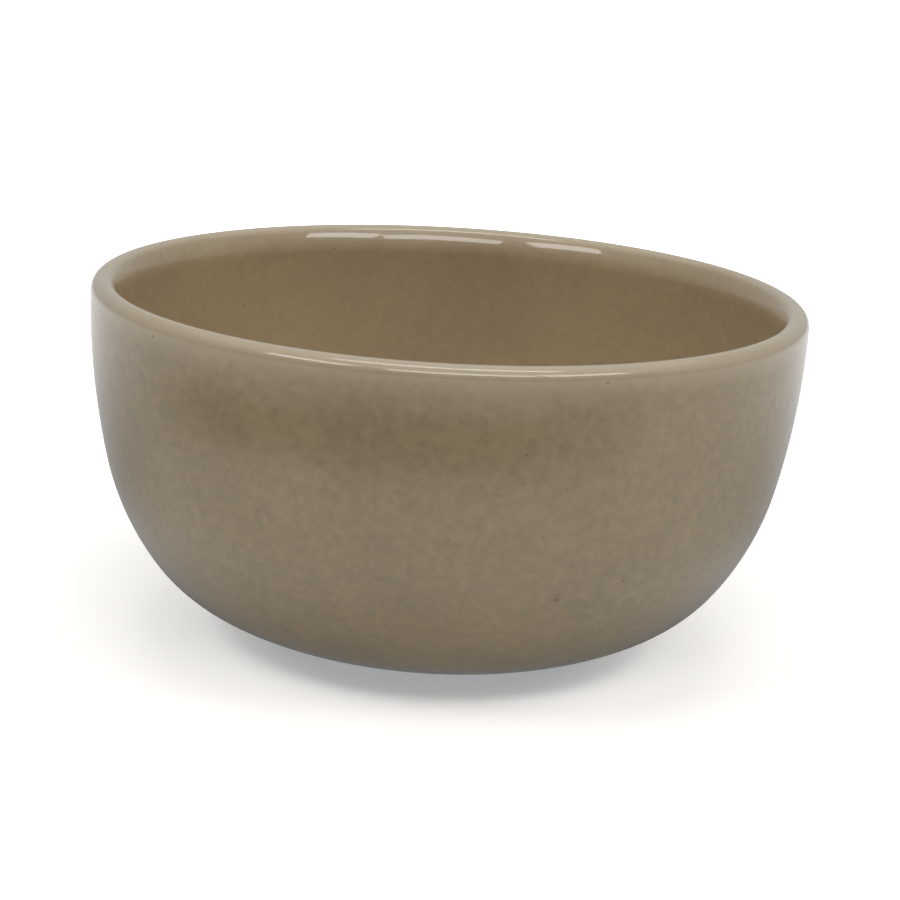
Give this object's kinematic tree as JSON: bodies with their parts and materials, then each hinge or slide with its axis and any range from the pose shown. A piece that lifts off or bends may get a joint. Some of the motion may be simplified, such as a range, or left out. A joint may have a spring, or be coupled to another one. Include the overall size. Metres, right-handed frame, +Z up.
{
  "type": "prep bowl",
  "caption": "Deep round stoneware bowl with a rounded lip, a wall that rolls under to a low bare foot ring, and a glossy greige glaze inside and out.",
  "frame": {"origin": "centre of the plane that the foot ring rests on", "axes": "+Z up along the bowl's axis; the bowl is round, so +X and +Y are any two level directions"},
  "size_m": [0.152, 0.152, 0.076],
  "materials": {
    "stoneware": "bare fired clay, matt and slightly gritty",
    "glaze": "glossy semi-opaque greige stoneware glaze with fine mottling and a few dark specks"
  },
  "bodies": {
    "root": {"stoneware_body": "stoneware", "glaze_coat": "glaze", "foot_well_glaze": "glaze"}
  },
  "joints": []
}
